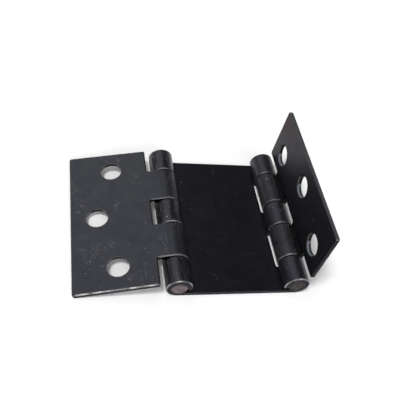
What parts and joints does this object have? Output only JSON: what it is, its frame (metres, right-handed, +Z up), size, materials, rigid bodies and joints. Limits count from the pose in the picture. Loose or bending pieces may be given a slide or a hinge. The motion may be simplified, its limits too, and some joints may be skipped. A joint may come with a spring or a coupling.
{
  "type": "double action hinge",
  "caption": "Sheet steel hinge with a centre plate between parallel pins and a drilled leaf on each pin, so that joined panels fold either way.",
  "frame": {"origin": "middle of the centre plate's underside, between the two pins and halfway along them", "axes": "+X from the left leaf's pin to the right leaf's pin, +Y along the pins to the back, +Z up from the plate towards its knuckles"},
  "size_m": [0.0547, 0.0402, 0.0217],
  "materials": {
    "black_coat": "satin black coating on sheet steel, worn bright along the edges",
    "pin_steel": "bare cut ends of dull steel bar"
  },
  "bodies": {
    "centre": {"centre_plate": "black_coat", "left_pin": "pin_steel", "right_pin": "pin_steel"},
    "left_leaf": {"left_leaf": "black_coat"},
    "right_leaf": {"right_leaf": "black_coat"}
  },
  "joints": [
    {"name": "left_leaf_swing", "type": "hinge", "parent": "centre", "child": "left_leaf", "pos_m": [-0.0142, 0, 0.00305], "axis": [0, 1, 0], "range_deg": [-146, 164]},
    {"name": "right_leaf_swing", "type": "hinge", "parent": "centre", "child": "right_leaf", "pos_m": [0.0142, 0, 0.00305], "axis": [0, 1, 0], "range_deg": [-102, 174]}
  ]
}
